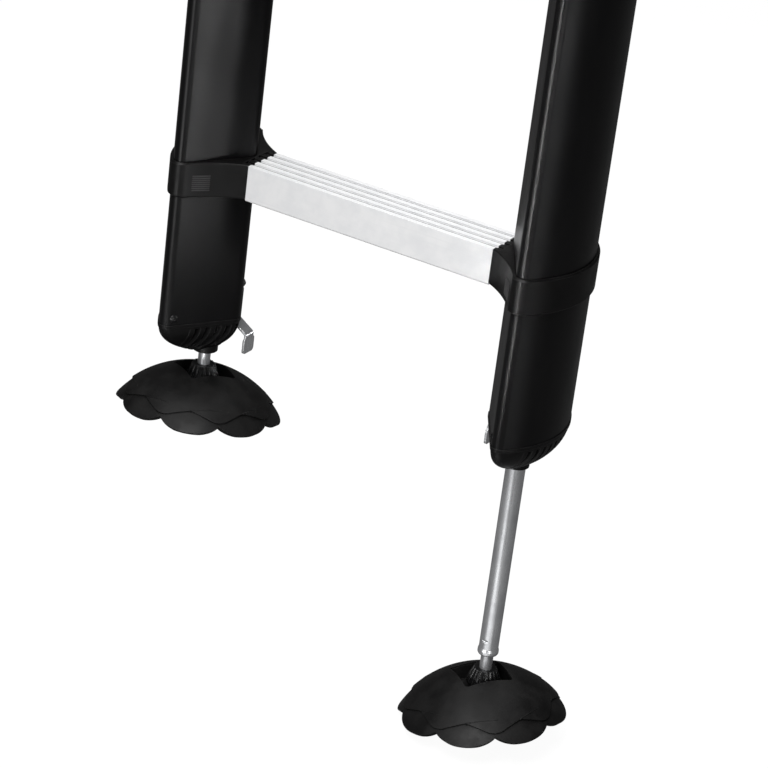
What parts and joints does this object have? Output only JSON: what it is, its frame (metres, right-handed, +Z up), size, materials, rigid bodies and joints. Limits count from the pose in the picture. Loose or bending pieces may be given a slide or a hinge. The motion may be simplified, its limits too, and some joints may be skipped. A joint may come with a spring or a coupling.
{
  "type": "ladder leg extension",
  "caption": "Foot end of a telescopic ladder: black stiles and a ridged rung, with lockable sliding legs on ball-jointed rubber feet for uneven ground.",
  "frame": {"origin": "midway between the stiles, on top of the rung's middle ridge", "axes": "+X along the rung to the leg that is drawn out, -Y to the climber, +Z up the stiles"},
  "size_m": [0.5776, 0.1823, 0.8869],
  "materials": {
    "stile_black": "black powder coat, satin",
    "rung_bare": "bare extruded",
    "moulding_black": "moulded, slightly glossy",
    "zinc_steel": "bright zinc plate",
    "rivet_black": "black, glossy",
    "rubber_black": "moulded, matt",
    "liner_white": "natural acetal"
  },
  "bodies": {
    "base": {"rung": "rung_bare", "rung_rivets": "zinc_steel", "left_stile_tube": "stile_black", "left_rung_collar": "moulding_black", "left_collar_rivets": "rivet_black", "left_end_plug": "moulding_black", "left_plug_rivets": "rivet_black", "left_guide_bush": "liner_white", "left_lever_pin": "zinc_steel", "left_lock_spring": "zinc_steel", "left_lock_cover": "moulding_black", "right_stile_tube": "stile_black", "right_rung_collar": "moulding_black", "right_collar_rivets": "rivet_black", "right_end_plug": "moulding_black", "right_plug_rivets": "rivet_black", "right_guide_bush": "liner_white", "right_lever_pin": "zinc_steel", "right_lock_spring": "zinc_steel", "right_lock_cover": "moulding_black"},
    "left_leg": {"left_leg_tube": "zinc_steel", "left_top_guide": "moulding_black", "left_stud_sleeve": "zinc_steel", "left_foot_stud": "zinc_steel", "left_swivel_cap": "moulding_black"},
    "left_seat": {"left_ball_seat": "liner_white"},
    "left_foot": {"left_foot_core": "moulding_black", "left_core_plate": "moulding_black", "left_core_screws": "zinc_steel", "left_foot_tread": "rubber_black", "left_foot_dome": "rubber_black"},
    "left_lever": {"left_lock_lever": "zinc_steel"},
    "right_leg": {"right_leg_tube": "zinc_steel", "right_top_guide": "moulding_black", "right_stud_sleeve": "zinc_steel", "right_foot_stud": "zinc_steel", "right_swivel_cap": "moulding_black"},
    "right_seat": {"right_ball_seat": "liner_white"},
    "right_foot": {"right_foot_core": "moulding_black", "right_core_plate": "moulding_black", "right_core_screws": "zinc_steel", "right_foot_tread": "rubber_black", "right_foot_dome": "rubber_black"},
    "right_lever": {"right_lock_lever": "zinc_steel"}
  },
  "joints": [
    {"name": "left_leg_slide", "type": "slide", "parent": "base", "child": "left_leg", "axis": [0, 0, -1], "range_m": [0, 0.25]},
    {"name": "left_foot_swivel", "type": "hinge", "parent": "left_leg", "child": "left_seat", "pos_m": [-0.1975, 0, -0.2905], "axis": [0, 0, 1], "continuous": true},
    {"name": "left_foot_tilt", "type": "hinge", "parent": "left_seat", "child": "left_foot", "pos_m": [-0.1975, 0, -0.2905], "axis": [-0.9895, -0.1443, 0], "range_deg": [-23.28, 6.72]},
    {"name": "left_lever_pivot", "type": "hinge", "parent": "base", "child": "left_lever", "pos_m": [-0.218, 0, -0.1914], "axis": [0, -1, 0], "range_deg": [0, 6], "stiffness_Nm_per_rad": 2, "springref_deg": -5.73, "deforming": ["left_lock_spring"]},
    {"name": "right_leg_slide", "type": "slide", "parent": "base", "child": "right_leg", "axis": [0, 0, -1], "range_m": [-0.2295, 0.0205]},
    {"name": "right_foot_swivel", "type": "hinge", "parent": "right_leg", "child": "right_seat", "pos_m": [0.1975, 0, -0.52], "axis": [0, 0, 1], "continuous": true},
    {"name": "right_foot_tilt", "type": "hinge", "parent": "right_seat", "child": "right_foot", "pos_m": [0.1975, 0, -0.52], "axis": [-0.1644, -0.9864, 0], "range_deg": [-25.34, 4.66]},
    {"name": "right_lever_pivot", "type": "hinge", "parent": "base", "child": "right_lever", "pos_m": [0.218, 0, -0.1914], "axis": [0, 1, 0], "range_deg": [0, 6], "stiffness_Nm_per_rad": 2, "springref_deg": -5.73, "deforming": ["right_lock_spring"]}
  ]
}
